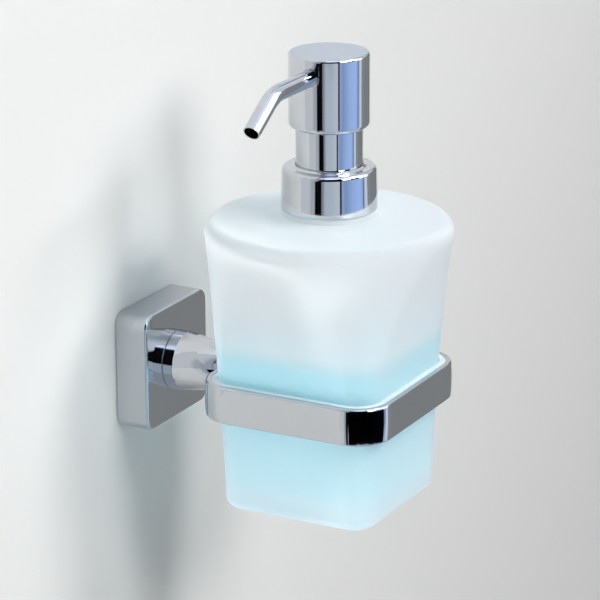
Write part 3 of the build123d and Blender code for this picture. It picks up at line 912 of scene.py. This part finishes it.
def room_light():
    world = bpy.data.worlds.new("room")
    bpy.context.scene.world = world
    world.use_nodes = True
    tree = world.node_tree
    background = tree.nodes["Background"]
    background.inputs["Color"].default_value = linear("#F3F4F5")
    background.inputs["Strength"].default_value = ROOM_LIGHT
    view = add_node(tree, "TexCoord").outputs["Generated"]
    direction = add_node(tree, "SeparateXYZ", {"Vector": view})
    seen = DARK_FRONT
    for axis, start, full, colour in ROOM_PARTS:
        share = add_node(tree, "MapRange", {
            "interpolation_type": "SMOOTHSTEP",
            "Value": direction.outputs[axis],
            "From Min": start, "From Max": full,
        })
        seen = add_node(tree, "Mix", {
            "data_type": "RGBA",
            SHARE: share.outputs["Result"],
            FIRST_COLOUR: seen,
            SECOND_COLOUR: colour,
        }).outputs[MIXED_COLOUR]
    seen_in_chrome = add_node(tree, "Background", {"Strength": 1.0, "Color": seen})
    both = add_node(tree, "MixShader", {
        SHARE: add_node(tree, "LightPath").outputs["Is Glossy Ray"],
        FIRST_SHADER: background.outputs["Background"],
        SECOND_SHADER: seen_in_chrome.outputs["Background"],
    })
    tree.links.new(both.outputs["Shader"], tree.nodes["World Output"].inputs["Surface"])
    return world


room = room_light()
print(room.name, "nodes:", len(room.node_tree.nodes))

# %% [markdown]
# ## Cards
#
# Chrome looks its best among plain cards, light and dark, that stand around it. Each card here
# glows by itself, in colours that change softly from its left to its right, and is seen by shiny
# surfaces alone, so it lights nothing else. One painted surround could do the same, but a card
# can be moved alone. The cards stand upright in a circle round the pump. Angles are in degrees
# from +X towards +Y, and heights are in metres.

# %% cards
CARD_DISTANCE = 1.1


def glowing(name, colours, strength, width):
    """A light of its own, with colours evenly spaced from the card's left to its right."""
    material = bpy.data.materials.new(name)
    material.use_nodes = True
    tree = material.node_tree
    tree.nodes.remove(tree.nodes["Principled BSDF"])
    place = add_node(tree, "TexCoord").outputs["Object"]
    across = add_node(tree, "SeparateXYZ", {"Vector": place})
    share = add_node(tree, "MapRange", {
        "Value": across.outputs["X"],
        "From Min": -width / 2, "From Max": width / 2,
    })
    ramp = add_node(tree, "ValToRGB", {"Fac": share.outputs["Result"]})
    stops = ramp.color_ramp.elements
    while len(stops) < len(colours):
        stops.new(0.5)
    for order, stop in enumerate(stops):
        stop.position = order / (len(colours) - 1)
    for stop, colour in zip(stops, colours):
        stop.color = linear(colour)
    glow = add_node(tree, "Emission", {"Strength": strength, "Color": ramp.outputs["Color"]})
    show(tree, glow.outputs["Emission"])
    return material


def only_in_chrome(made):
    """Keeps a card out of everything but reflections."""
    made.visible_camera = False
    made.visible_diffuse = False
    made.visible_transmission = False
    made.visible_shadow = False


def card(
    name, angles, heights, colours, strength=1.0, distance=CARD_DISTANCE, centre=(PUMP_X, PUMP_Y)
):
    """A card that stands upright around a point, between two angles and two heights."""
    (start, end), (bottom, top) = angles, heights
    middle = math.radians((start + end) / 2)
    width = 2 * distance * math.tan(math.radians(end - start) / 2)
    where = (
        centre[0] + distance * math.cos(middle),
        centre[1] + distance * math.sin(middle),
        (bottom + top) / 2,
    )
    facing_centre = (math.radians(90), 0, middle + math.radians(90))
    material = glowing(name, colours, strength, width)
    only_in_chrome(studio_plane(name, (width, top - bottom), where, facing_centre, material))


GREY_LEFT = ("#8E8F94", "#C9D7E3", "#C9D7E3", "#CCD9E5", "#D8DFED", "#D8DFEA")
BLUE = ("#B1BED6", "#87A3D0", "#A4C0F0", "#ADCAFE", "#8DA3ED")
WHITE_STRIP = ("#A9B2BE", "#DFEDFF", "#C0C8D4")
GREY_RIGHT = ("#A3A5A7", "#929494", "#8F9291", "#909193")
card("card_left", (189, 233), (-0.88, -0.14), GREY_LEFT)
card("card_blue", (237.3, 296), (-0.88, 0.10), BLUE, strength=1.2)
card("card_strip", (298, 312), (-0.88, 0.02), WHITE_STRIP, strength=1.4)
card("card_grey", (313.5, 359), (-0.88, 0.45), GREY_RIGHT)
card("card_soft_box", (284, 320), (0.03, 2.3), ("#F4F8FF", "#FFFFFF"), 1.8, CARD_DISTANCE * 1.1)
card("card_high_left", (195, 236), (1.15, 3.6), ("#DCE8FF", "#DCE8FF"), strength=2.0)
card("card_high_end", (178, 187), (0.72, 1.15), ("#CBD0D6", "#CBD0D6"))
card("card_wall_end", (177.5, 182.5), (-0.13, 0.72), ("#BDC2CA", "#A9AFB8"))
card("card_high_right", (321, 358), (0.46, 2.0), ("#E4ECFF", "#F2F6FF"), strength=0.95)

# %% [markdown]
# The wall panel gets darker away from the lamps and ends to the left. Polished curved metal shows
# that end as a dark upright line, which is half of what makes chrome look like chrome. These are
# cards as well, flat on the wall, and each lies between two X and two Z places in metres.

# %% the far end of the wall
CARD_OFF_WALL = 1 * MM


def far_wall(name, across, heights, colours):
    """A glowing stretch of wall, seen only in chrome."""
    (left, right), (bottom, top) = across, heights
    width = right - left
    where = ((left + right) / 2, WALL_Y - CARD_OFF_WALL, (bottom + top) / 2)
    material = glowing(name, colours, 1.0, width)
    only_in_chrome(studio_plane(name, (width, top - bottom), where, UPRIGHT, material))


FADING_LOW = ("#AEB8BC", "#B0B9BD", "#B6BEC4", "#BDC4CB", "#DFE3E5")
FADING_MID = ("#AEB6BC", "#B4BAC2", "#BCC2CA", "#BCC1C9", "#DDE1E6")
FAR_WALLS = (
    ("wall_fading_low", (-0.70, -0.27), (-1.2, -0.02), FADING_LOW),
    ("wall_fading_mid", (-0.66, -0.09), (-0.02, 0.2), FADING_MID),
    ("wall_fading_high", (-0.66, -0.14), (0.2, 2.0), ("#CDD3DB", "#DDE2E8")),
    ("wall_shaded", (0.05, 0.4), (0.145, 0.4), ("#E0E9F2", "#E0E9F2")),
    ("wall_end", (-4.0, -0.70), (-1.2, -0.03), ("#020304", "#020304")),
    ("wall_end_high", (-4.0, -0.66), (-0.03, 2.0), ("#AEB8C6", "#B2BAC4")),
)
for stretch in FAR_WALLS:
    far_wall(*stretch)
print("stretches of wall:", len(FAR_WALLS))

# %% [markdown]
# A low black flag stands close to the ring's near corner, as four short cards in an arc. It keeps
# that corner dark and gives the ring its hard contrast, and it is too low and too short to show
# anywhere else.

# %% flag
ring_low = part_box("ring")[0]
near_corner = (ring_low.x + 8 * MM, ring_low.y + 8 * MM)
FLAG_DISTANCE = 32 * MM
FLAG_HEIGHTS = (-20 * MM, 0.5 * MM)
FLAG_PARTS = 4
FLAG_START = 176
FLAG_WIDTH = 29
BLACK = ("#000000", "#000000")
for order in range(FLAG_PARTS):
    start = FLAG_START + order * FLAG_WIDTH
    angles = (start, start + FLAG_WIDTH)
    card(f"flag_{order}", angles, FLAG_HEIGHTS, BLACK, 0.0, FLAG_DISTANCE, near_corner)
print("flag round, mm:", [round(c / MM, 1) for c in near_corner])

# %% [markdown]
# ## Last step
#
# The engineering model's pieces stay in the file, hidden where a made piece stands for them, and
# nothing is left selected.

# %% let go of the selection
deselect()
